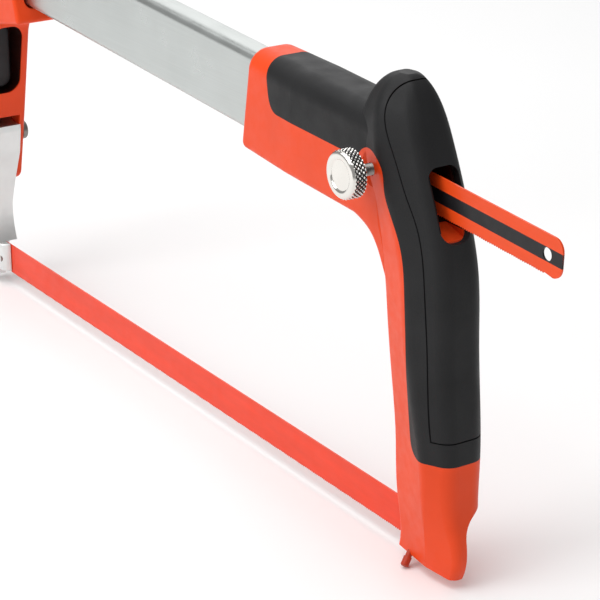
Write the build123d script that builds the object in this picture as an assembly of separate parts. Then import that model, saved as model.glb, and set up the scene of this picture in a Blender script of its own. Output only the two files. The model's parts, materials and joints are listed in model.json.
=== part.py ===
import os
from math import cos, radians, sin, tan

from build123d import *

os.makedirs("parts", exist_ok=True)

# Frame: the origin is the centre of the blade's rear hole, +X runs along the blade to the front end,
# +Y is the thumbscrew side, +Z is up. Millimetres.

# Standard 12-inch hacksaw blade
HOLE_SPAN = 300.0
BLADE_W = 12.7
BLADE_T = 0.65
BLADE_END = 7.0
BLADE_CORNER = 4.0
HOLE_R = 2.1
PIN_R = 1.5
PIN_BITE = HOLE_R - PIN_R - 0.03

# Frame tube
TILT = 2.78
TUBE_H = 28.6
TUBE_W = 10.8
TUBE_R = 2.8
TUBE_WALL = 1.3
TUBE_Z = 120.57
TUBE_X0 = 27.0
TUBE_X1 = 313.0

# Handle
SLEEVE_WALL = 4.5
SKIN = 2.2
SEAM = 0.45
HUMP_Z = 151.8
TAIL_Z = -7.95
TAIL_DROP = 1.2
COLLAR_X = 94.8
GRIP_FRONT_X = 76.0
GRIP_END_Z = 31.6
INSERT_END_Z = 39.85
SIDE_Y = 11.4
COLLAR_ROUND = 3.0
TONGUE_Y = BLADE_T / 2 + 0.33
TONGUE_ARC_R = 10.2
TONGUE_ARC_Z = 5.3

# Thumbscrew
KNOB_X = 13.0
KNOB_Z = 121.9
KNOB_R = 8.0
KNOB_Y0 = 18.4
KNOB_Y1 = 24.0
STEM_R = 2.0
TIP_R = 1.4
BUSH_R = 3.6
BUSH_Y0 = 6.3
BUSH_Y1 = 9.6
PAD_T = 2.2
DISH_R = 6.0
DISH_Y = 10.0

# Spare blade kept in the tube
SPARE_Y = 0.6
SPARE_DROP = 3.3
SPARE_TIP_X = -67.5
GUIDE_GAP = 0.35
PAD_Y0 = SPARE_Y + BLADE_T / 2 + 0.3

# Angled blade pins
ANGLE_PIN_R = 1.4
ANGLE_PIN_OUT = 4.4
ANGLE_SHANK_R = 1.1
ANGLE_SHANK_IN = 4.5
ANGLE_SHOULDER = 1.2

# Front end
PIVOT_X = 306.5
PIVOT_Z = 53.65
PIVOT_R = 2.5
FRONT_W = 10.8
FORK_W = 8.0
ARM_W = 7.6
BOSS_X = 301.5
BOSS_R = 4.4
SLOT_PLAY = 1.9
SCREW_Z = 74.0
SCREW_R = 3.0
LUG_X = 313.0
RUN = 0.05

# Cross pins that lock the tube in both castings
LOCK_R = 2.0
LOCK_HALF = 7.6
LOCK_UP = 8.5
LOCK_X = (44.0, 70.0, 279.0, 300.0)


def tube_z(x, off=0.0):
    """Height of the tube's centre line above the blade line at x, plus an offset across the tube."""
    return TUBE_Z + tan(radians(TILT)) * x + off / cos(radians(TILT))


def poly(*pts):
    return Polyline(*pts, close=True)


def slab(outline, y0, y1):
    """Solid between y0 and y1 from a closed outline in X and Z."""
    face = Plane.XZ * make_face(outline)
    return Pos(0, y1, 0) * extrude(face, amount=y1 - y0)


def box(x0, x1, y0, y1, z0, z1):
    return Pos((x0 + x1) / 2, (y0 + y1) / 2, (z0 + z1) / 2) * Box(x1 - x0, y1 - y0, z1 - z0)


def rod(x, z, r, y0, y1):
    """Round bar across the frame, from y0 to y1."""
    return Pos(x, (y0 + y1) / 2, z) * Rot(90, 0, 0) * Cylinder(r, y1 - y0)


def bar_x(z, r, x0, x1):
    """Round bar along the frame, on the mid plane."""
    return Pos((x0 + x1) / 2, 0, z) * Rot(0, 90, 0) * Cylinder(r, x1 - x0)


def tube_bar(w, h, r, x0, x1, dy=0.0, dz=0.0):
    """Bar along the tube's direction, from x0 to x1 on the centre line."""
    plane = Plane(origin=(x0, 0, tube_z(x0)), x_dir=(0, 1, 0),
                  z_dir=(cos(radians(TILT)), 0, sin(radians(TILT))))
    return extrude(plane * Pos(dy, dz) * RectangleRounded(w, h, r),
                   amount=(x1 - x0) / cos(radians(TILT)))


def near(sk, x, y):
    return [q for q in sk.vertices() if abs(q.X - x) < 1e-3 and abs(abs(q.Y) - y) < 1e-3]


# ---- handle shapes ---------------------------------------------------------

# Level sections of the grip: height, rear x, front x, half-widths at the front corner, the ridge and
# the rear corner, how far the ridge is ahead of the rear, and the radii of those three corners.
GRIP = [
    (TAIL_Z - TAIL_DROP - 0.3, -24.0, 6.0, 4.8, 6.0, 4.7, 12.4, 1.5, 5.0, 3.2),
    (12.0, -25.0, 6.2, 5.4, 9.3, 5.8, 11.0, 2.0, 2.5, 4.6),
    (32.0, -23.9, 6.8, 6.2, 11.3, 6.4, 9.2, 3.0, 4.5, 6.0),
    (52.0, -22.4, 8.2, 7.2, 12.5, 6.8, 11.0, 4.0, 6.0, 6.0),
    (72.0, -21.0, 9.8, 8.2, 13.0, 7.0, 13.0, 4.5, 7.0, 6.0),
    (94.0, -19.7, 11.6, 9.4, 13.0, 7.0, 14.5, 5.0, 7.0, 6.0),
    (112.0, -14.3, 17.0, 10.2, 13.0, 7.0, 16.0, 5.0, 7.0, 6.0),
    (132.0, -5.4, 24.5, 9.6, 12.8, 7.0, 15.0, 5.0, 7.0, 6.0),
    (141.0, -1.2, 23.4, 8.0, 11.4, 6.2, 12.6, 5.0, 7.0, 5.6),
    (146.7, 2.2, 20.6, 6.4, 8.9, 4.9, 9.8, 4.5, 6.0, 4.4),
    (150.1, 5.2, 17.4, 4.4, 6.0, 3.4, 6.6, 3.0, 4.0, 3.0),
    (HUMP_Z, 8.4, 14.2, 1.8, 2.5, 1.5, 3.0, 1.0, 1.6, 1.0),
]
CORE_ROWS = 10


def grip_section(row, inset):
    z, xr, xf, wf, wr, wb, ahead, rf, rr, rb = row
    f = (xf - inset, wf - inset * 0.8)
    r = (xr + ahead, wr - inset)
    b = (xr + inset, wb - inset * 0.8)
    sk = make_face(poly(f, r, b, (b[0], -b[1]), (r[0], -r[1]), (f[0], -f[1])))
    for p, rad in ((f, rf), (r, rr), (b, rb)):
        sk = fillet(near(sk, *p), max(rad - inset * 0.6, 0.4))
    return Pos(0, 0, z) * sk


def grip_shape(inset=0.0):
    """Grip with its domed hump; the core inside the rubber stops below the dome."""
    rows = GRIP[:CORE_ROWS] if inset else GRIP
    body = loft([grip_section(r, inset) for r in rows])
    bottom = slab(poly((30, TAIL_Z + 1.4), (-40, TAIL_Z - TAIL_DROP), (-40, -30), (30, -30)), -20, 20)
    return body - bottom


def sleeve_outline(inset):
    """Side outline of the sleeve, with the hollow curve that runs down into the front of the grip."""
    w = SLEEVE_WALL - inset
    z_low, z_top = 0.5 - TUBE_H / 2 - w, TUBE_H / 2 + w - 0.7
    x_low, x_top = COLLAR_X - inset, COLLAR_X - 6.5 - inset
    x_in, x_toe, z_toe = 4.0, 8.6, 80.0
    hollow = [(25.0, tube_z(25.0, z_low)), (15.4 - inset, 98.6 + inset), (11.0 - inset, 90.0),
              (x_toe - inset, z_toe)]
    return make_face(
        Spline(*hollow, tangents=((-1, -0.25), (-0.15, -1)))
        + Polyline(hollow[-1], (x_in - 4, z_toe), (x_in - 4, 118), (x_in, tube_z(x_in, z_top)),
                   (x_top, tube_z(x_top, z_top)), (x_low, tube_z(x_low, z_low)), hollow[0]))


def sleeve_shape(inset=0.0):
    body = extrude(Plane.XZ * sleeve_outline(inset), amount=20, both=True)
    half = [(-10, SIDE_Y), (28, SIDE_Y), (60, SIDE_Y), (102, 9.4)]
    plan = [(x, y - inset) for x, y in half] + [(x, inset - y) for x, y in reversed(half)]
    body &= Pos(0, 0, 60) * extrude(make_face(poly(*plan)), amount=120)
    rise = [(76, 8.2), (92, 9.9), (104, 11.0), (114, SIDE_Y), (170, SIDE_Y)]
    view = [(y - inset, z) for z, y in rise] + [(inset - y, z) for z, y in reversed(rise)]
    body &= extrude(Plane.YZ * make_face(poly(*view)), amount=120, both=True)
    top = [e for e in body.edges() if abs(e.tangent_at(0.5).X) > 0.9 and abs(e.center().Y) > 5
           and e.center().Z > tube_z(e.center().X) + 10]
    body = fillet(top, 7.0 - inset * 0.6)
    if not inset:
        body = fillet(body.faces().sort_by(Axis.X)[-1].edges(), COLLAR_ROUND)
    low = [e for e in body.edges() if abs(e.center().Y) > 5 and e.center().X > 10
           and e.center().X < COLLAR_X - 5 and e.center().Z < tube_z(e.center().X) - 8]
    body = fillet(low, 2.4 - inset * 0.5)
    half = [(-10, 5.0), (4, 8.6), (14, 12.4), (110, 12.4)]
    rear = [(x, y - inset) for x, y in half] + [(x, inset - y) for x, y in reversed(half)]
    return body & Pos(0, 0, 60) * extrude(make_face(poly(*rear)), amount=120)


def handle_shape(inset=0.0):
    return grip_shape(inset) + sleeve_shape(inset)


def rubber_region():
    """Side outline of the rubber: over the sleeve, round the ear, down behind the front strip."""
    corner = (GRIP_FRONT_X - 7.5, tube_z(GRIP_FRONT_X - 7.5, 0.8))
    ear = (21.5, tube_z(21.5, 1.6))
    toe = (-7.6, 40.0)
    heel = (-13.4, GRIP_END_Z)
    face = make_face(
        Spline((GRIP_FRONT_X + 2.0, 165), (GRIP_FRONT_X - 0.7, 133.0), corner,
               tangents=((-0.1, -1), (-1, 0)))
        + Line(corner, ear)
        + Spline(ear, (14.6, 128.2), (8.4, 126.2), (5.6, 122.0), (4.6, 116.6), (1.6, 110.6),
                 (-2.6, 103.6), (-5.2, 96.6), (-6.6, 86.0), (-7.7, 66.0), toe)
        + Spline(toe, (-8.9, 33.5), heel, tangents=((0, -1), (-1, 0)))
        + Polyline(heel, (-40, GRIP_END_Z), (-40, 165), (GRIP_FRONT_X + 2.0, 165)))
    return extrude(Plane.XZ * face, amount=30, both=True)


def palm_region(grow=0.0):
    """Side outline of the separate insert down the back of the grip."""
    g = grow
    face = make_face(
        Spline((-3.0, 152.2 + g), (4.8, 151.0 + g), (7.6 + g, 148.2 + g), (8.6 + g, 143.0),
               (7.4 + g, 138.0), (1.6 + g, 127.0), (-3.6 + g, 117.2), (-8.4 + g, 109.0),
               (-12.0 + g, 99.0), (-14.0 + g, 86.0), (-15.6 + g, 67.0), (-18.2 + g, INSERT_END_Z - g))
        + Polyline((-18.2 + g, INSERT_END_Z - g), (-40, INSERT_END_Z - g), (-40, 152.2 + g),
                   (-3.0, 152.2 + g)))
    return extrude(Plane.XZ * face, amount=30, both=True)


def blade_slot():
    """Rounded opening through the insert for the spare blade."""
    half, z0, z1 = 5.8, 103.7, 126.4
    face = rounded_outline([(half, z0, 5.2), (half, z1, 3.6), (-half, z1, 3.6), (-half, z0, 5.2)])
    return Pos(-32, 0, 0) * extrude(Plane.YZ * face, amount=36)


def lock_pin(x):
    return rod(x, tube_z(x, LOCK_UP), LOCK_R, -LOCK_HALF, LOCK_HALF)


def lock_pins():
    return [lock_pin(x) for x in LOCK_X]


# ---- tube and blades -------------------------------------------------------

def make_tube():
    outer = tube_bar(TUBE_W, TUBE_H, TUBE_R, TUBE_X0, TUBE_X1)
    inner = tube_bar(TUBE_W - 2 * TUBE_WALL, TUBE_H - 2 * TUBE_WALL, TUBE_R - TUBE_WALL,
                     TUBE_X0 - 5, TUBE_X1 + 5)
    body = outer - inner
    for p in lock_pins():
        body -= p
    return body


def blade_flat(length):
    """Blade flat on the XY plane, holes near both ends, its rear hole at the origin."""
    sk = Pos(length / 2 - BLADE_END, 0) * RectangleRounded(length, BLADE_W, BLADE_CORNER)
    return sk - Circle(HOLE_R) - Pos(length - 2 * BLADE_END, 0) * Circle(HOLE_R)


def make_cutting_blade():
    sk = blade_flat(HOLE_SPAN + 2 * BLADE_END)
    return extrude(Plane.XZ * sk, amount=BLADE_T / 2, both=True)


def make_spare_blade():
    sk = blade_flat(HOLE_SPAN + 2 * BLADE_END)
    x = SPARE_TIP_X + BLADE_END
    place = Pos(x, SPARE_Y, tube_z(x, -SPARE_DROP)) * Rot(0, -TILT, 0)
    return place * extrude(Plane.XZ * sk, amount=BLADE_T / 2, both=True)


# ---- handle parts ----------------------------------------------------------

def angle_pin(root, toward_front):
    """Blade pin at 45 degrees with a thinner shank, through the lower left edge that root lies on."""
    lean = 0.30 if toward_front else -0.30
    d = Vector(lean, 0.67, -0.68).normalized()
    start = Vector(*root)
    shank = extrude(Plane(origin=start - d * ANGLE_SHANK_IN, z_dir=d) * Circle(ANGLE_SHANK_R),
                    amount=ANGLE_SHANK_IN + ANGLE_SHOULDER + 1)
    bar = extrude(Plane(origin=start + d * ANGLE_SHOULDER, z_dir=d) * Circle(ANGLE_PIN_R),
                  amount=ANGLE_PIN_OUT - ANGLE_SHOULDER)
    tip = bar.edges().filter_by(GeomType.CIRCLE).sort_by(Axis.Z)[0]
    return chamfer(tip, 0.3) + shank


REAR_ANGLE_ROOT = (-2.2, 5.5, TAIL_Z)
FRONT_ANGLE_ROOT = (308.0, 4.6, TAIL_Z)


def make_rear_blade_pin():
    pin = rod(-PIN_BITE, 0, PIN_R, -4.6, 5.0)
    head = pin.edges().filter_by(GeomType.CIRCLE).sort_by(Axis.Y)[0]
    return chamfer(head, 0.3)


def make_front_blade_pin():
    pin = rod(HOLE_SPAN + PIN_BITE, 0, PIN_R, -4.6, 4.2)
    head = pin.edges().filter_by(GeomType.CIRCLE).sort_by(Axis.Y)[0]
    return chamfer(head, 0.3)


def make_bushing():
    ring = rod(KNOB_X, KNOB_Z, BUSH_R, BUSH_Y0, BUSH_Y1)
    return ring - rod(KNOB_X, KNOB_Z, STEM_R + RUN, 0, 20)


def make_clamp_pad():
    """Swivel pad on the thumbscrew's tip."""
    pad = rod(KNOB_X, KNOB_Z, 3.2, PAD_Y0, PAD_Y0 + PAD_T)
    return pad - rod(KNOB_X, KNOB_Z, TIP_R + RUN, PAD_Y0 + 0.8, PAD_Y0 + 4)


def make_thumbscrew():
    tip = rod(KNOB_X, KNOB_Z, TIP_R, PAD_Y0 + 0.85, PAD_Y0 + PAD_T + 0.4)
    stem = rod(KNOB_X, KNOB_Z, STEM_R, PAD_Y0 + PAD_T + 0.3, KNOB_Y0 + 1)
    head = rod(KNOB_X, KNOB_Z, KNOB_R, KNOB_Y0, KNOB_Y1)
    rims = head.edges().filter_by(GeomType.CIRCLE).group_by(Axis.Y)
    head = chamfer(rims[-1], 1.0)
    rims = head.edges().filter_by(GeomType.CIRCLE).group_by(Axis.Y)
    head = chamfer(rims[0], 0.5)
    head -= rod(KNOB_X, KNOB_Z, 5.2, KNOB_Y1 - 0.5, KNOB_Y1 + 1)
    return tip + stem + head


def casting_openings():
    """Socket for the tube, the room behind it for the spare blade, and the thumbscrew's holes."""
    socket = tube_bar(TUBE_W, TUBE_H, TUBE_R, TUBE_X0, COLLAR_X + 20)
    half = TUBE_W / 2 - TUBE_WALL
    low, high = -TUBE_H / 2 + TUBE_WALL, 6.5
    room = slab(poly((TUBE_X0 + 1, tube_z(TUBE_X0, low)), (TUBE_X0 + 1, tube_z(TUBE_X0, high)),
                     (-40, tube_z(-40, high)), (-40, 101.5), (-17, 103.7),
                     (-2, tube_z(-2, low))), -half, half)
    room -= rod(KNOB_X, KNOB_Z, 3.6, -half - 1, SPARE_Y - BLADE_T / 2 - GUIDE_GAP)
    pad_room = rod(KNOB_X, KNOB_Z, 3.6, PAD_Y0 - 1, BUSH_Y0 + 0.05)
    bush = rod(KNOB_X, KNOB_Z, BUSH_R, BUSH_Y0, BUSH_Y1)
    hole = rod(KNOB_X, KNOB_Z, STEM_R + 0.25, BUSH_Y1 - 0.1, SIDE_Y + 2)
    dish = Pos(KNOB_X, (DISH_Y + SIDE_Y) / 2, KNOB_Z) * Rot(-90, 0, 0) * Cone(
        DISH_R - 2.6, DISH_R, SIDE_Y - DISH_Y)
    return [socket, room, pad_room, bush, hole, dish]


def tongue_cut():
    """Right half of the tail cut away below a round-topped hollow, so that the blade lies flat."""
    y0 = TONGUE_Y - TONGUE_ARC_R
    arc = Pos(-10, y0, TONGUE_ARC_Z) * Rot(0, 90, 0) * Cylinder(TONGUE_ARC_R, 100)
    return arc + box(-60, 40, -40, TONGUE_Y, -60, TONGUE_ARC_Z) + box(
        -60, 40, -40, y0, TONGUE_ARC_Z - 1, TONGUE_ARC_Z + TONGUE_ARC_R)


def make_handle(outer, inner, region):
    """Casting, rubber grip and palm insert, cut from one outer shape so their faces stay flush."""
    room = casting_openings()
    shell = (outer & region) - inner
    insert = shell & palm_region()
    rubber = shell - palm_region(SEAM)
    insert -= blade_slot()
    casting = outer - shell
    for tool in room:
        casting -= tool
        rubber -= tool
    for p in lock_pins()[:2]:
        casting -= p
    casting -= tongue_cut()
    casting -= make_rear_blade_pin() + angle_pin(REAR_ANGLE_ROOT, False)
    insert = biggest(insert)
    return casting, rubber, insert


def biggest(shape):
    return max(shape.solids(), key=lambda s: s.volume)


# ---- front end -------------------------------------------------------------

def rounded_outline(corners):
    """Face from corner points, each with its own corner radius."""
    sk = make_face(poly(*[(x, z) for x, z, r in corners]))
    for x, z, r in corners:
        if r:
            sk = fillet([q for q in sk.vertices() if abs(q.X - x) < 1e-3 and abs(q.Y - z) < 1e-3], r)
    return sk


def front_outline():
    """Side outline of the front casting: collar above, fork below."""
    return rounded_outline([
        (259.5, tube_z(259.5, -20.3), 1.5), (271.0, tube_z(271.0, 18.4), 2.5),
        (313.0, tube_z(313.0, 18.4), 14), (330.0, 128.0, 20), (330.0, 96.0, 60), (322.8, 40.0, 5),
        (314.0, 30.5, 4), (306.0, 33.0, 5), (303.2, 46.0, 20), (298.6, 69.0, 60), (291.5, 106.0, 10)])


def make_front_casting():
    body = extrude(Plane.XZ * front_outline(), amount=FRONT_W, both=True)
    rims = [e for e in body.edges() if abs(abs(e.center().Y) - FRONT_W) < 0.01]
    body = fillet(rims, 1.6)
    body -= tube_bar(TUBE_W, TUBE_H, TUBE_R, 200, TUBE_X1)
    body -= tube_bar(TUBE_W + 1.8, TUBE_H + 1.8, TUBE_R + 0.9, 240, 268)
    body -= box(295, 330, -FORK_W, FORK_W, 20, 62.5)
    body -= box(307, 321.5, -FORK_W, FORK_W, 60, 88)
    pocket = extrude(Plane.YZ * Pos(0, 88.5) * RectangleRounded(15.0, 30.0, 6.0), amount=305.5)
    body -= pocket & box(280, 305.5, -20, 20, 60, 120)
    body -= rod(PIVOT_X, PIVOT_Z, PIVOT_R, -20, 20)
    body -= bar_x(SCREW_Z, 5.0, 322.0, 345)
    body -= bar_x(SCREW_Z, SCREW_R + 0.4, 312, 345)
    for p in lock_pins()[2:]:
        body -= p
    return body


def make_pocket_pad():
    pad = extrude(Plane.YZ * Pos(0, 88.5) * RectangleRounded(12.0, 27.0, 4.5), amount=3.0)
    pad = Pos(302.5, 0, 0) * pad
    front = pad.edges().group_by(Axis.X)[0]
    return fillet(front, 0.8)


def make_pivot_pin():
    body = rod(PIVOT_X, PIVOT_Z, PIVOT_R, -FRONT_W - 0.2, FRONT_W + 1.8)
    head = rod(PIVOT_X, PIVOT_Z, 4.0, -FRONT_W - 2.4, -FRONT_W)
    head = fillet(head.edges().filter_by(GeomType.CIRCLE).sort_by(Axis.Y)[0], 0.9)
    groove = rod(PIVOT_X, PIVOT_Z, 5, FRONT_W + 0.3, FRONT_W + 1.1)
    groove -= rod(PIVOT_X, PIVOT_Z, PIVOT_R - 0.5, FRONT_W, FRONT_W + 1.4)
    return body + head - groove


def make_pivot_clip():
    """Snap ring in the pivot pin's groove."""
    ring = rod(PIVOT_X, PIVOT_Z, 4.2, FRONT_W + 0.3, FRONT_W + 1.1)
    ring -= rod(PIVOT_X, PIVOT_Z, PIVOT_R - 0.5, FRONT_W, FRONT_W + 1.4)
    gap = box(PIVOT_X - 1.3, PIVOT_X + 1.3, FRONT_W, FRONT_W + 1.4, PIVOT_Z - 6, PIVOT_Z - 1)
    return biggest(ring - gap)


def make_tension_arm():
    """Silver arm between the fork's ears: pivot in the middle, blade boss below, screw lug above."""
    face = make_face(
        Spline((299.0, 56.0), (301.2, 43.0), (303.6, 28.0), (303.8, 17.0), (300.8, 6.0))
        + Polyline((300.8, 6.0), (303.0, 5.0), (303.0, TAIL_Z), (311.0, TAIL_Z))
        + Spline((311.0, TAIL_Z), (313.4, 4.0), (314.2, 22.0), (315.5, 44.0), (316.5, 60.0),
                 (317.0, 78.0))
        + Polyline((317.0, 78.0), (LUG_X, 78.0), (LUG_X, 66.0))
        + Spline((LUG_X, 66.0), (308.0, 59.6), (299.0, 58.6))
        + Line((299.0, 58.6), (299.0, 56.0)))
    body = extrude(Plane.XZ * face, amount=ARM_W, both=True)
    for s in (1, -1):
        taper = make_face(poly((s * 4.6, 22), (s * 4.6, -20), (s * 12, -20), (s * 12, 46), (s * ARM_W, 46)))
        body -= extrude(Plane.YZ * taper, amount=340)
    boss = Pos(BOSS_X, 0, 0) * extrude(Pos(0, 0, -5.6) * Circle(BOSS_R), amount=12.4)
    rim = boss.edges().filter_by(GeomType.CIRCLE)
    boss = fillet(rim, 0.8)
    neck = box(BOSS_X, 306, -BOSS_R, BOSS_R, -5.6, 6.8)
    body = body + boss + neck
    body -= box(285, HOLE_SPAN + BLADE_END + SLOT_PLAY, -20, TONGUE_Y, -30, 6.9)
    body -= rod(PIVOT_X, PIVOT_Z, PIVOT_R + RUN, -20, 20)
    body -= make_front_blade_pin() + angle_pin(FRONT_ANGLE_ROOT, True)
    return biggest(body)


def make_thrust_pad():
    pad = bar_x(SCREW_Z, 4.0, LUG_X + 4.3, LUG_X + 6.3)
    return pad - bar_x(SCREW_Z, 1.5 + RUN, LUG_X + 5.0, LUG_X + 8)


def make_tension_screw():
    tip = bar_x(SCREW_Z, 1.5, LUG_X + 5.05, LUG_X + 6.8)
    return tip + bar_x(SCREW_Z, SCREW_R, LUG_X + 6.7, 345.0)


def make_tension_nut():
    nut = bar_x(SCREW_Z, 5.0, 322.0, 329.0)
    return nut - bar_x(SCREW_Z, SCREW_R + RUN, 300, 350)


def make_tension_knob():
    """Lobed hand knob on the tension screw."""
    lobes, r_out, r_dip = 6, 11.0, 3.2
    body = bar_x(SCREW_Z, r_out, 333.0, 349.0)
    body = fillet(body.edges().filter_by(GeomType.CIRCLE), 1.5)
    for k in range(lobes):
        a = radians(360 / lobes * k)
        dip = Pos(341, (r_out + 1.6) * cos(a), SCREW_Z + (r_out + 1.6) * sin(a))
        body -= dip * Rot(0, 90, 0) * Cylinder(r_dip, 20)
    return body - bar_x(SCREW_Z, SCREW_R, 330, 345.0)


outer = handle_shape()
inner = handle_shape(SKIN)
casting, rubber, insert = make_handle(outer, inner, rubber_region())
locks = Compound(children=lock_pins())

nodes = {
    "frame_tube": make_tube(),
    "handle_casting": casting,
    "grip_rubber": rubber,
    "palm_insert": insert,
    "rear_blade_pin": make_rear_blade_pin(),
    "rear_angle_pin": angle_pin(REAR_ANGLE_ROOT, False),
    "knob_bushing": make_bushing(),
    "clamp_pad": make_clamp_pad(),
    "thumbscrew": make_thumbscrew(),
    "spare_blade": make_spare_blade(),
    "cutting_blade": make_cutting_blade(),
    "front_casting": make_front_casting(),
    "pocket_pad": make_pocket_pad(),
    "pivot_pin": make_pivot_pin(),
    "pivot_clip": make_pivot_clip(),
    "tension_arm": make_tension_arm(),
    "front_blade_pin": make_front_blade_pin(),
    "front_angle_pin": angle_pin(FRONT_ANGLE_ROOT, True),
    "thrust_pad": make_thrust_pad(),
    "tension_screw": make_tension_screw(),
    "tension_nut": make_tension_nut(),
    "tension_knob": make_tension_knob(),
    "lock_pins": locks,
}
for name, shape in nodes.items():
    export_step(shape, f"parts/{name}.step")
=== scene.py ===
import json
from math import asin, cos, pi, radians, sin

import bmesh
import bpy
from mathutils import Matrix, Vector


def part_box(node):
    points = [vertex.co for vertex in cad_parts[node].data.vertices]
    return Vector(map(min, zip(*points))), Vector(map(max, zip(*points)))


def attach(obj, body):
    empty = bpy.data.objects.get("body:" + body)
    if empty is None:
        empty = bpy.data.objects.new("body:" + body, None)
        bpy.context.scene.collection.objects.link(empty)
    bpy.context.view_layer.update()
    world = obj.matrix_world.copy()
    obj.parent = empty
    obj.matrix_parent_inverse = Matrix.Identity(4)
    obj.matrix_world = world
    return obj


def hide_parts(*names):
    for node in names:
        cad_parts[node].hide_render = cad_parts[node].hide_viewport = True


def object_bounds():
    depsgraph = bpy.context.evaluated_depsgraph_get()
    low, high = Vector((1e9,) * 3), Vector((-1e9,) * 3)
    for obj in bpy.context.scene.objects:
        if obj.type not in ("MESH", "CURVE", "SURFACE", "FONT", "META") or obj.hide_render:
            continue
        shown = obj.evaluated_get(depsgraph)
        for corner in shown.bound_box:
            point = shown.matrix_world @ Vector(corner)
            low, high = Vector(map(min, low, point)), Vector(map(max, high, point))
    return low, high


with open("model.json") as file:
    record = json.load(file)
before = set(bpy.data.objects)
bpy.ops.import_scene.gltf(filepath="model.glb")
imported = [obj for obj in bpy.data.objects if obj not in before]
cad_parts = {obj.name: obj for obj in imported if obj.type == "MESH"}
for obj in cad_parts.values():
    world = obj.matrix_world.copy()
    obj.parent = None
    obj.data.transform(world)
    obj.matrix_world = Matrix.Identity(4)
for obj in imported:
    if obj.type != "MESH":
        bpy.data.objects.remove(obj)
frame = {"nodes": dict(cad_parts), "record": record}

CAD_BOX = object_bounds()
MM = 0.001
NODES = frame["nodes"]
JOINTS = {j["name"]: j for j in frame["record"]["behaviour"]["joints"]}


# ---- node material helpers ---------------------------------------------------

# The mix node repeats its socket names for each data type, so the colour ones go by number.
MIX_COLOR_A, MIX_COLOR_B, MIX_COLOR_OUT = 6, 7, 2


class Mat:
    """A principled material with object-space texture nodes."""

    def __init__(self, name, base, metallic=0.0, roughness=0.5, **sockets):
        self.m = bpy.data.materials.new(name)
        self.m.use_nodes = True
        self.t = self.m.node_tree
        self.n = self.t.nodes
        self.bsdf = self.n["Principled BSDF"]
        self.bsdf.inputs["Base Color"].default_value = (*base, 1)
        self.bsdf.inputs["Metallic"].default_value = metallic
        self.bsdf.inputs["Roughness"].default_value = roughness
        for k, v in sockets.items():
            self.bsdf.inputs[k.replace("_", " ")].default_value = v
        self.coord = self.n.new("ShaderNodeTexCoord")

    def link(self, a, b):
        self.t.links.new(a, b)

    def mapped(self, scale, rot=(0, 0, 0)):
        mp = self.n.new("ShaderNodeMapping")
        mp.inputs["Scale"].default_value = scale
        mp.inputs["Rotation"].default_value = rot
        self.link(self.coord.outputs["Object"], mp.inputs["Vector"])
        return mp.outputs["Vector"]

    def noise(self, scale, detail=3.0, rough=0.5, vector=None):
        t = self.n.new("ShaderNodeTexNoise")
        t.inputs["Scale"].default_value = scale
        t.inputs["Detail"].default_value = detail
        t.inputs["Roughness"].default_value = rough
        self.link(vector or self.coord.outputs["Object"], t.inputs["Vector"])
        return t.outputs["Fac"]

    def voronoi(self, scale):
        t = self.n.new("ShaderNodeTexVoronoi")
        t.inputs["Scale"].default_value = scale
        self.link(self.coord.outputs["Object"], t.inputs["Vector"])
        return t.outputs["Distance"]

    def xyz(self):
        sep = self.n.new("ShaderNodeSeparateXYZ")
        self.link(self.coord.outputs["Object"], sep.inputs["Vector"])
        return sep.outputs["X"], sep.outputs["Y"], sep.outputs["Z"]

    def ramp(self, fac, stops):
        r = self.n.new("ShaderNodeValToRGB")
        el = r.color_ramp.elements
        while len(el) < len(stops):
            el.new(0.5)
        for e, (p, c) in zip(el, stops):
            e.position = p
            e.color = (*c, 1)
        self.link(fac, r.inputs["Fac"])
        return r.outputs["Color"]

    def value_map(self, fac, lo, hi, a=0.3, b=0.7):
        r = self.n.new("ShaderNodeMapRange")
        r.inputs["From Min"].default_value = a
        r.inputs["From Max"].default_value = b
        r.inputs["To Min"].default_value = lo
        r.inputs["To Max"].default_value = hi
        self.link(fac, r.inputs["Value"])
        return r.outputs["Result"]

    def math(self, op, a, b=None, clamp=False):
        r = self.n.new("ShaderNodeMath")
        r.operation = op
        r.use_clamp = clamp
        for i, v in enumerate((a, b)):
            if v is None:
                continue
            if isinstance(v, (int, float)):
                r.inputs[i].default_value = v
            else:
                self.link(v, r.inputs[i])
        return r.outputs["Value"]

    def mix(self, fac, a, b):
        r = self.n.new("ShaderNodeMix")
        r.data_type = "RGBA"
        self.link(fac, r.inputs["Factor"])
        self.link(a, r.inputs[MIX_COLOR_A])
        self.link(b, r.inputs[MIX_COLOR_B])
        return r.outputs[MIX_COLOR_OUT]

    def color(self, out):
        self.link(out, self.bsdf.inputs["Base Color"])

    def roughness(self, out):
        self.link(out, self.bsdf.inputs["Roughness"])

    def bump(self, height, strength, distance):
        b = self.n.new("ShaderNodeBump")
        b.inputs["Strength"].default_value = strength
        b.inputs["Distance"].default_value = distance
        self.link(height, b.inputs["Height"])
        self.link(b.outputs["Normal"], self.bsdf.inputs["Normal"])


def lin(r, g, b):
    """sRGB 0-255 to linear."""
    out = []
    for c in (r, g, b):
        c /= 255
        out.append(c / 12.92 if c <= 0.04045 else ((c + 0.055) / 1.055) ** 2.4)
    return tuple(out)


def shade(c, k):
    return tuple(min(1.0, v * k) for v in c)


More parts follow.
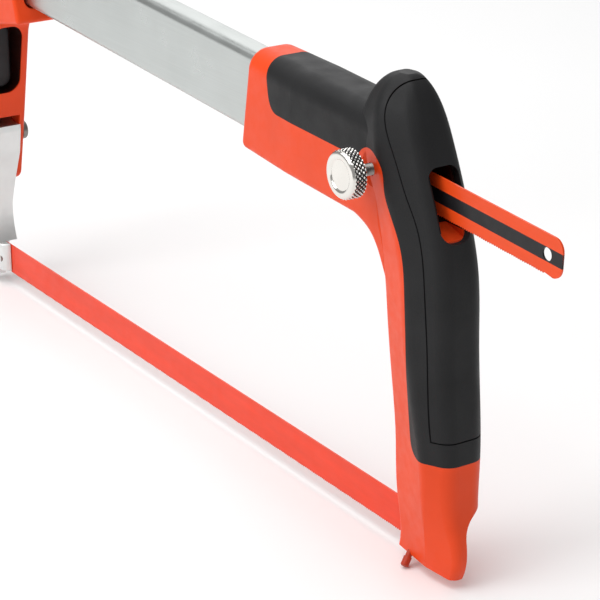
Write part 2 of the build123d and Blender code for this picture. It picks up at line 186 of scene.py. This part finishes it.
def powder_coat(name, base, shaded_hollow=None):
    """Powder coat; the optional box, ((x0, x1), half width, (z0, z1), lean), marks a deep hollow
    whose shade is painted in as a near-black colour, and lean slants its x limits with height."""
    m = Mat(name, base, 0.0, 0.42, Coat_Weight=0.06, Coat_Roughness=0.3, Specular_IOR_Level=0.24)
    coat = m.ramp(m.noise(38, 4), [(0.3, shade(base, 0.93)), (0.7, shade(base, 1.05))])
    if shaded_hollow:
        (x0, x1), half, (z0, z1), lean = shaded_hollow
        x, y, z = m.xyz()
        x = m.math("ADD", x, m.math("MULTIPLY", z, lean))
        inside = m.math("MULTIPLY", m.math("GREATER_THAN", x, x0), m.math("LESS_THAN", x, x1))
        inside = m.math("MULTIPLY", inside, m.math("LESS_THAN", m.math("ABSOLUTE", y), half))
        inside = m.math("MULTIPLY", inside, m.math("GREATER_THAN", z, z0))
        inside = m.math("MULTIPLY", inside, m.math("LESS_THAN", z, z1))
        # painted shade: inside the box the coat is coloured near black, with noise, as if little light
        # reaches it
        hollow_shade = m.ramp(m.noise(160, 4), [(0.3, lin(24, 8, 6)), (0.7, lin(52, 16, 9))])
        coat = m.mix(inside, coat, hollow_shade)
    m.color(coat)
    m.roughness(m.value_map(m.noise(260, 3), 0.36, 0.50))
    m.bump(m.noise(1500, 2, 0.55), 0.22, 0.00010)
    return m.m


def rubber(name, base):
    m = Mat(name, base, 0.0, 0.5, Specular_IOR_Level=0.2)
    m.color(m.ramp(m.noise(45, 4), [(0.3, shade(base, 0.85)), (0.72, shade(base, 1.2))]))
    m.roughness(m.value_map(m.noise(120, 3), 0.42, 0.56))
    m.bump(m.math("ADD", m.voronoi(2600), m.noise(3200, 2)), 0.28, 0.00010)
    return m.m


def anodised_tube(name, base, tilt):
    m = Mat(name, base, 1.0, 0.3, Anisotropic=0.35)
    grain = m.noise(1.0, 4, 0.6, m.mapped((22, 2600, 2600), (0, tilt, 0)))
    m.color(m.ramp(grain, [(0.25, shade(base, 0.94)), (0.75, shade(base, 1.03))]))
    m.roughness(m.value_map(m.noise(90, 3), 0.27, 0.36))
    m.bump(grain, 0.06, 0.00004)
    return m.m


def satin_metal(name, base, rough, grain):
    m = Mat(name, base, 1.0, rough)
    m.color(m.ramp(m.noise(60, 3), [(0.3, shade(base, 0.92)), (0.7, shade(base, 1.04))]))
    m.roughness(m.value_map(m.noise(grain * 0.4, 3), rough * 0.85, rough * 1.2))
    m.bump(m.noise(grain, 3), 0.12, 0.00008)
    return m.m


def moulded(name, base):
    m = Mat(name, base, 0.0, 0.5)
    m.color(m.ramp(m.noise(70, 3), [(0.3, shade(base, 0.85)), (0.7, shade(base, 1.25))]))
    m.roughness(m.value_map(m.noise(300, 3), 0.42, 0.58))
    m.bump(m.noise(2200, 2), 0.2, 0.00008)
    return m.m


def knurled(name, base, radius):
    """Bright knurl crests with shade painted dark into the grooves, told apart by the distance from the
    knob's own axis.
    """
    m = Mat(name, base, 1.0, 0.2)
    x, _, z = m.xyz()
    dist = m.math("SQRT", m.math("ADD", m.math("MULTIPLY", x, x), m.math("MULTIPLY", z, z)))
    depth = m.value_map(dist, 0.0, 1.0, radius - 0.36 * MM, radius - 0.08 * MM)
    # painted shade: colour darkens towards the groove roots, with noise added to the depth
    groove_shade = m.math("ADD", depth, m.value_map(m.noise(900, 3), -0.12, 0.12), True)
    m.color(m.ramp(groove_shade, [(0.25, shade(base, 0.05)), (0.85, base)]))
    m.roughness(m.value_map(m.noise(500, 3), 0.16, 0.3))
    m.bump(m.noise(1200, 2), 0.08, 0.00005)
    return m.m


ORANGE = lin(231, 70, 20)
BLADE_RED = lin(234, 66, 36)
SPARE_RED = lin(231, 74, 22)
STRIPE = lin(22, 20, 22)
TOOTH_LINE = -0.00603
BLACK = lin(33, 33, 34)
TILT = asin(Vector(JOINTS["spare_slide"]["axis"]).z)
K_RADIUS = (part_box("thumbscrew")[1][0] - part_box("thumbscrew")[0][0]) / 2

M_ORANGE = powder_coat("orange_powder_coat", ORANGE)
# painted shade darkens the inside of the handle's blade slot
M_HANDLE = powder_coat("orange_powder_coat_handle", ORANGE,
                       ((-0.020, 0.026), 0.0062, (0.1068, 0.1275), 0.0))
# painted shade darkens the inside of the front casting's pocket
M_FRONT = powder_coat("orange_powder_coat_front", ORANGE,
                      ((0.3126, 0.340), 0.0076, (0.0734, 0.1036), 0.192))
M_RUBBER = rubber("black_grip_rubber", BLACK)
M_TUBE = anodised_tube("satin_alloy_tube", lin(192, 196, 194), TILT)
M_CHROME = satin_metal("chrome", lin(226, 223, 217), 0.13, 500)
M_KNURL = knurled("chrome_knurl", lin(226, 224, 220), K_RADIUS)
M_ARM = satin_metal("silver_casting", lin(226, 229, 228), 0.42, 900)
M_STEEL = satin_metal("turned_steel", lin(138, 134, 130), 0.32, 1200)
M_BRASS = satin_metal("brass", lin(196, 164, 96), 0.3, 900)
M_PIN = powder_coat("red_lacquer", lin(176, 58, 34))
M_PLASTIC = moulded("black_plastic", lin(44, 44, 46))


def blade_paint(name, red, stripe=None):
    """Lacquer on the blade's faces, darker where the teeth are ground; stripe is the (rear x, front x,
    half width) of an optional dark centre stripe."""
    m = Mat(name, red, 0.0, 0.38, Coat_Weight=0.06, Coat_Roughness=0.2, Specular_IOR_Level=0.24)
    body = m.ramp(m.noise(30, 4, 0.6, m.mapped((1, 1, 6))),
                  [(0.3, shade(red, 0.92)), (0.7, shade(red, 1.05))])
    x, _, z = m.xyz()
    if stripe:
        stripe_from, stripe_to, half = stripe
        inside = m.math("LESS_THAN", m.math("ABSOLUTE", z), half)
        inside = m.math("MULTIPLY", inside, m.math("GREATER_THAN", x, stripe_from))
        inside = m.math("MULTIPLY", inside, m.math("LESS_THAN", x, stripe_to))
        dark = m.ramp(m.noise(200, 3), [(0.3, STRIPE), (0.7, shade(STRIPE, 1.5))])
        body = m.mix(inside, body, dark)
    uneven = m.value_map(m.noise(900, 2), -0.0001, 0.0001)
    edge = m.math("LESS_THAN", m.math("ADD", z, uneven), TOOTH_LINE)
    m.color(m.mix(edge, body, m.ramp(m.noise(2500, 2), [(0.3, shade(red, 0.72)),
                                                        (0.7, shade(red, 0.9))])))
    m.roughness(m.value_map(m.noise(180, 3), 0.32, 0.46))
    m.bump(m.noise(700, 3, 0.5, m.mapped((0.4, 1, 1))), 0.12, 0.00006)
    return m.m


# ---- mesh helpers ------------------------------------------------------------

def new_piece(name, mesh, materials):
    ob = bpy.data.objects.new(name, mesh)
    bpy.context.scene.collection.objects.link(ob)
    for m in materials:
        mesh.materials.append(m)
    return ob


def finish_mesh(bm, name, smooth_deg=None):
    bmesh.ops.recalc_face_normals(bm, faces=bm.faces)
    me = bpy.data.meshes.new(name)
    bm.to_mesh(me)
    bm.free()
    if smooth_deg:
        me.shade_smooth()
        me.set_sharp_from_angle(angle=radians(smooth_deg))
    return me


BLADE_CORNER = 4.0 * MM
TOOTHLESS_END = 8 * MM
TOOTH_SET = 0.10 * MM


def saw_blade(name, length, width, thick, hole_r, inset, pitch, depth, materials):
    """Blade in its own axes: rear hole at the origin, +X to the front, teeth down. The teeth are cut
    one by one and set in the wavy pattern of a fine-toothed blade."""
    x0, x1 = -inset, length - inset
    half = width / 2
    bm = bmesh.new()
    r = BLADE_CORNER
    holes = [(0.0, 0.0), (length - 2 * inset, 0.0)]
    first, last = x0 + TOOTHLESS_END, x1 - TOOTHLESS_END
    count = int((last - first) / pitch)
    outline = []

    def arc(cx, cz, a0, a1, n=10):
        for k in range(n + 1):
            a = radians(a0 + (a1 - a0) * k / n)
            outline.append((cx + r * cos(a), cz + r * sin(a)))

    arc(x0 + r, -half + r, 180, 270)
    for k in range(count):
        x = first + k * pitch
        outline.append((x, -half + depth))
        outline.append((x + pitch * 0.30, -half))
        outline.append((x + pitch * 0.42, -half + depth * 0.35))
    outline.append((first + count * pitch, -half + depth))
    arc(x1 - r, -half + r, 270, 360)
    arc(x1 - r, half - r, 0, 90)
    arc(x0 + r, half - r, 90, 180)
    loops = [outline]
    for hx, hz in holes:
        loops.append([(hx + hole_r * cos(2 * pi * k / 32), hz + hole_r * sin(2 * pi * k / 32))
                      for k in range(32)])
    edges = []
    for loop in loops:
        vs = [bm.verts.new((x, 0, z)) for x, z in loop]
        edges += [bm.edges.new((vs[k], vs[(k + 1) % len(vs)])) for k in range(len(vs))]
    bmesh.ops.triangle_fill(bm, use_beauty=True, use_dissolve=False, edges=edges)
    top = bmesh.ops.extrude_face_region(bm, geom=list(bm.faces))
    moved = [v for v in top["geom"] if isinstance(v, bmesh.types.BMVert)]
    for v in bm.verts:
        v.co.y = -thick / 2
    for v in moved:
        v.co.y = thick / 2
    for v in bm.verts:
        if v.co.z < -half + depth * 0.9:
            drop = (-half + depth - v.co.z) / depth
            v.co.y += TOOTH_SET * drop * sin(2 * pi * (v.co.x - first) / (pitch * 8))
    return new_piece(name, finish_mesh(bm, name), materials)


def knurled_knob(name, r, y0, y1, materials):
    """Thumbscrew head turned round local Y: chamfered face with a shallow recess, diamond knurl."""
    around, deep = 168, 0.42 * MM
    rows = [(y0, 3.2 * MM, 0), (y0, r - 0.9 * MM, 0), (y0 + 0.35 * MM, r - 0.5 * MM, 0)]
    k0, k1 = y0 + 0.6 * MM, y1 - 1.15 * MM
    steps = 30
    for k in range(steps + 1):
        rows.append((k0 + (k1 - k0) * k / steps, r, 1))
    rows += [(y1 - 0.95 * MM, r - 0.30 * MM, 0), (y1 - 0.55 * MM, r - 0.42 * MM, 0),
             (y1 - 0.18 * MM, r - 0.75 * MM, 0), (y1, r - 1.25 * MM, 0), (y1, 5.7 * MM, 0),
             (y1 - 0.12 * MM, 5.3 * MM, 0), (y1 - 0.5 * MM, 4.9 * MM, 0), (y1 - 0.5 * MM, 1.4 * MM, 0)]
    bm = bmesh.new()
    rings = []
    teeth = 32
    for y, rad, knurl in rows:
        ring = []
        for j in range(around):
            a = 2 * pi * j / around
            rr = rad
            if knurl:
                u = a * teeth / (2 * pi)
                v = (y - k0) / (2 * pi * r / teeth)
                p = abs(((u + v) % 1) * 2 - 1)
                q = abs(((u - v) % 1) * 2 - 1)
                rr = rad - deep * (1 - min(p, q) * 1.35 if min(p, q) < 0.74 else 0.0)
            ring.append(bm.verts.new((rr * cos(a), y, rr * sin(a))))
        rings.append(ring)
    for (a, b), row, after in zip(zip(rings, rings[1:]), rows, rows[1:]):
        for j in range(around):
            f = bm.faces.new((a[j], a[(j + 1) % around], b[(j + 1) % around], b[j]))
            f.material_index = int(row[2] and after[2])
    bm.faces.new(rings[0])
    bm.faces.new(list(reversed(rings[-1])))
    return new_piece(name, finish_mesh(bm, name, 28), materials)


def turned(name, profile, materials, around, smooth):
    """Round part from (distance along, radius) pairs turned round local Y."""
    bm = bmesh.new()
    rings = [[bm.verts.new((rad * cos(2 * pi * j / around), y, rad * sin(2 * pi * j / around)))
              for j in range(around)] for y, rad in profile]
    for a, b in zip(rings, rings[1:]):
        for j in range(around):
            bm.faces.new((a[j], a[(j + 1) % around], b[(j + 1) % around], b[j]))
    bm.faces.new(rings[0])
    bm.faces.new(list(reversed(rings[-1])))
    return new_piece(name, finish_mesh(bm, name, smooth), materials)


def join_into(first, *others):
    """One piece from several, keeping every material."""
    for o in others:
        base = len(first.data.materials)
        bm = bmesh.new()
        bm.from_mesh(first.data)
        o.data.transform(first.matrix_world.inverted() @ o.matrix_world)
        n = len(bm.faces)
        bm.from_mesh(o.data)
        bm.faces.ensure_lookup_table()
        for f in bm.faces[n:]:
            f.material_index += base
        bm.to_mesh(first.data)
        bm.free()
        for m in o.data.materials:
            first.data.materials.append(m)
        bpy.data.objects.remove(o)
    return first


# ---- pieces ------------------------------------------------------------------

blade_lo, blade_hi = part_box("cutting_blade")
LENGTH = blade_hi[0] - blade_lo[0]
WIDTH = blade_hi[2] - blade_lo[2]
THICK = blade_hi[1] - blade_lo[1]
END = -blade_lo[0]
HOLE_R = 2.1 * MM
TEETH_PER_INCH = 24
TOOTH_PITCH = 25.4 * MM / TEETH_PER_INCH
TOOTH_DEPTH = 0.55 * MM
STRIPE_HALF = 2.25 * MM

cutting = saw_blade("cutting_blade_toothed", LENGTH, WIDTH, THICK, HOLE_R, END, TOOTH_PITCH, TOOTH_DEPTH,
                    [blade_paint("blade_lacquer", BLADE_RED)])
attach(cutting, "blade")
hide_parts("cutting_blade")

spare = saw_blade("spare_blade_toothed", LENGTH, WIDTH, THICK, HOLE_R, END, TOOTH_PITCH, TOOTH_DEPTH,
                  [blade_paint("spare_blade_lacquer", SPARE_RED, (-END, LENGTH, STRIPE_HALF))])
s_lo, s_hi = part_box("spare_blade")
axis = Vector(JOINTS["spare_slide"]["axis"])
turn = Matrix.Rotation(-TILT, 4, "Y")
centre = Vector(((s_lo[0] + s_hi[0]) / 2, (s_lo[1] + s_hi[1]) / 2, (s_lo[2] + s_hi[2]) / 2))
spare.matrix_world = Matrix.Translation(centre - axis * (LENGTH / 2 - END)) @ turn
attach(spare, "spare")
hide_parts("spare_blade")

k_lo, k_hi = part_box("thumbscrew")
kx, kz = (k_lo[0] + k_hi[0]) / 2, (k_lo[2] + k_hi[2]) / 2
KNOB_START = 18.4 * MM
knob = knurled_knob("thumbscrew_knurled", K_RADIUS, KNOB_START, k_hi[1], [M_CHROME, M_KNURL])

# The stem from its tip outwards: a plain nose, the thread's crests and roots, and a flare in the knob.
STEM_TIP, THREAD_START, THREAD_END = 2.08 * MM, 3.8 * MM, 18.0 * MM
THREAD_PITCH, CREST_R, ROOT_R, NOSE_R = 0.8 * MM, 2.0 * MM, 1.66 * MM, 1.4 * MM
profile = [(STEM_TIP, 1.2 * MM), (STEM_TIP + 0.2 * MM, NOSE_R), (3.45 * MM, NOSE_R), (3.55 * MM, 1.75 * MM)]
y = THREAD_START
while y < THREAD_END:
    profile += [(y, CREST_R), (y + THREAD_PITCH * 0.5, ROOT_R)]
    y += THREAD_PITCH
profile += [(18.2 * MM, CREST_R), (18.5 * MM, 3.0 * MM)]
stem = turned("thumbscrew_stem", profile, [M_STEEL], 48, 20)
knob = join_into(knob, stem)
knob.matrix_world = Matrix.Translation((kx, 0, kz))
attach(knob, "thumbscrew")
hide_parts("thumbscrew")

PAINT = {
    "frame_tube": M_TUBE, "handle_casting": M_HANDLE, "grip_rubber": M_RUBBER,
    "palm_insert": M_RUBBER, "rear_blade_pin": M_STEEL, "rear_angle_pin": M_PIN,
    "knob_bushing": M_BRASS, "clamp_pad": M_BRASS, "front_casting": M_FRONT,
    "pocket_pad": M_PLASTIC, "pivot_pin": M_STEEL, "pivot_clip": M_STEEL, "tension_arm": M_ARM,
    "front_blade_pin": M_STEEL, "front_angle_pin": M_PIN, "thrust_pad": M_BRASS,
    "tension_screw": M_STEEL, "tension_nut": M_BRASS, "tension_knob": M_PLASTIC, "lock_pins": M_STEEL,
}
for node, m in PAINT.items():
    ob = NODES[node]
    for s in ob.material_slots:
        s.material = m


# ---- floor, light, camera ----------------------------------------------------

FLOOR_HALF, FLOOR_GAP = 6.0, 0.0002
bm = bmesh.new()
for sx, sy in ((-1, -1), (1, -1), (1, 1), (-1, 1)):
    bm.verts.new((sx * FLOOR_HALF, sy * FLOOR_HALF, 0))
bm.faces.new(bm.verts)
me = bpy.data.meshes.new("floor")
bm.to_mesh(me)
bm.free()
floor_mat = Mat("pale_floor", (0.93, 0.93, 0.93), 0.0, 0.9)
floor_mat.color(floor_mat.ramp(floor_mat.noise(3, 2),
                               [(0.3, (0.92, 0.92, 0.92)), (0.7, (0.94, 0.94, 0.94))]))
ground = new_piece("floor", me, [floor_mat.m])
ground.location = (0, 0, CAD_BOX[0][2] - FLOOR_GAP)

world = bpy.data.worlds.new("studio")
bpy.context.scene.world = world
world.use_nodes = True
world.node_tree.nodes["Background"].inputs["Color"].default_value = (1, 1, 1, 1)
world.node_tree.nodes["Background"].inputs["Strength"].default_value = 0.36


def area(name, place, target, w, h, power):
    data = bpy.data.lights.new(name, "AREA")
    data.shape = "RECTANGLE"
    data.size, data.size_y = w, h
    data.energy = power
    ob = bpy.data.objects.new(name, data)
    ob.location = place
    ob.rotation_euler = (Vector(target) - Vector(place)).to_track_quat("-Z", "Y").to_euler()
    bpy.context.scene.collection.objects.link(ob)


area("key", (0.25, 1.25, 0.8), (0.1, 0, 0.08), 0.8, 0.8, 7)
area("top", (0.25, 0.3, 1.35), (0.15, 0.05, 0), 1.8, 1.4, 17.5)
area("far_card", (1.4, -0.85, 0.72), (0.15, 0, 0.13), 1.3, 1.1, 5)

# The camera stands behind the handle, to the left and above, looking forward.
HEADING, DROP = radians(56.81), radians(21.67)
ahead = Vector((cos(DROP) * sin(HEADING), -cos(DROP) * cos(HEADING), -sin(DROP)))
cam_data = bpy.data.cameras.new("camera")
cam_data.lens = 138.0
cam_data.sensor_width = 36.0
cam_data.clip_end = 50
cam = bpy.data.objects.new("camera", cam_data)
cam.location = (-0.5439, 0.4027, 0.3482)
cam.rotation_euler = ahead.to_track_quat("-Z", "Y").to_euler()
bpy.context.scene.collection.objects.link(cam)
bpy.context.scene.camera = cam
bpy.context.scene.view_settings.view_transform = "Standard"
